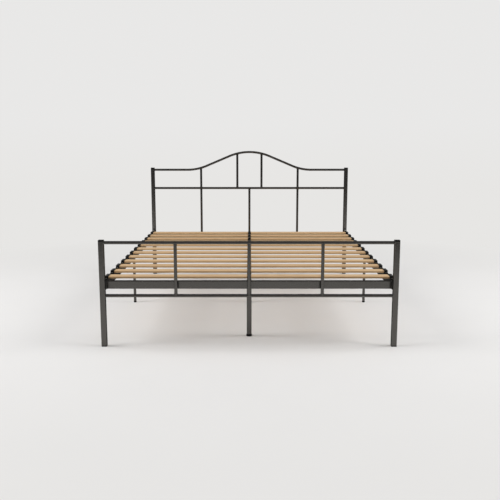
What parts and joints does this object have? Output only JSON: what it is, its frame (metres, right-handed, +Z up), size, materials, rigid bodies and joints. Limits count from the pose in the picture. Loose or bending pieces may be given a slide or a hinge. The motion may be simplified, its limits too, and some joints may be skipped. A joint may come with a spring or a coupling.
{
  "type": "metal bed frame",
  "caption": "Double bed frame in dark powder-coated steel tube, with an arched headboard, a low straight footboard, and a base frame that carries wooden slats.",
  "frame": {"origin": "on the floor, in the middle of the frame's footprint", "axes": "+Z up, X across the bed with left at -X, Y along it with the footboard at -Y and the headboard at +Y"},
  "size_m": [1.65, 2.1, 1.042],
  "materials": {
    "graphite_paint": "dark warm-grey powder coat, satin with a fine texture",
    "black_plastic": "black moulded plastic, matt",
    "zinc_plate": "bright zinc plating",
    "birch_wood": "laminated birch, clear satin lacquer"
  },
  "bodies": {
    "root": {"bolt_foot_left_lower": "zinc_plate", "bolt_foot_left_upper": "zinc_plate", "bolt_foot_right_lower": "zinc_plate", "bolt_foot_right_upper": "zinc_plate", "bolt_head_left_lower": "zinc_plate", "bolt_head_left_upper": "zinc_plate", "bolt_head_right_lower": "zinc_plate", "bolt_head_right_upper": "zinc_plate", "centre_beam": "graphite_paint", "centre_leg_ferrule_foot": "black_plastic", "centre_leg_ferrule_head": "black_plastic", "centre_leg_ferrule_middle": "black_plastic", "centre_leg_foot": "graphite_paint", "centre_leg_head": "graphite_paint", "centre_leg_middle": "graphite_paint", "end_rail_foot": "graphite_paint", "end_rail_head": "graphite_paint", "footboard_lower_rail": "graphite_paint", "footboard_post_cap_left": "black_plastic", "footboard_post_cap_right": "black_plastic", "footboard_post_foot_left": "black_plastic", "footboard_post_foot_right": "black_plastic", "footboard_post_left": "graphite_paint", "footboard_post_right": "graphite_paint", "footboard_spindle_1": "graphite_paint", "footboard_spindle_2": "graphite_paint", "footboard_spindle_3": "graphite_paint", "footboard_top_rail": "graphite_paint", "headboard_arched_rail": "graphite_paint", "headboard_lower_rail": "graphite_paint", "headboard_lower_spindle_1": "graphite_paint", "headboard_lower_spindle_2": "graphite_paint", "headboard_lower_spindle_3": "graphite_paint", "headboard_middle_rail": "graphite_paint", "headboard_post_cap_left": "black_plastic", "headboard_post_cap_right": "black_plastic", "headboard_post_foot_left": "black_plastic", "headboard_post_foot_right": "black_plastic", "headboard_post_left": "graphite_paint", "headboard_post_right": "graphite_paint", "headboard_upper_spindle_1": "graphite_paint", "headboard_upper_spindle_2": "graphite_paint", "headboard_upper_spindle_3": "graphite_paint", "headboard_upper_spindle_4": "graphite_paint", "side_leg_left": "graphite_paint", "side_leg_right": "graphite_paint", "side_rail_left": "graphite_paint", "side_rail_right": "graphite_paint", "slat_01": "birch_wood", "slat_02": "birch_wood", "slat_03": "birch_wood", "slat_04": "birch_wood", "slat_05": "birch_wood", "slat_06": "birch_wood", "slat_07": "birch_wood", "slat_08": "birch_wood", "slat_09": "birch_wood", "slat_10": "birch_wood", "slat_11": "birch_wood", "slat_12": "birch_wood"}
  },
  "joints": []
}
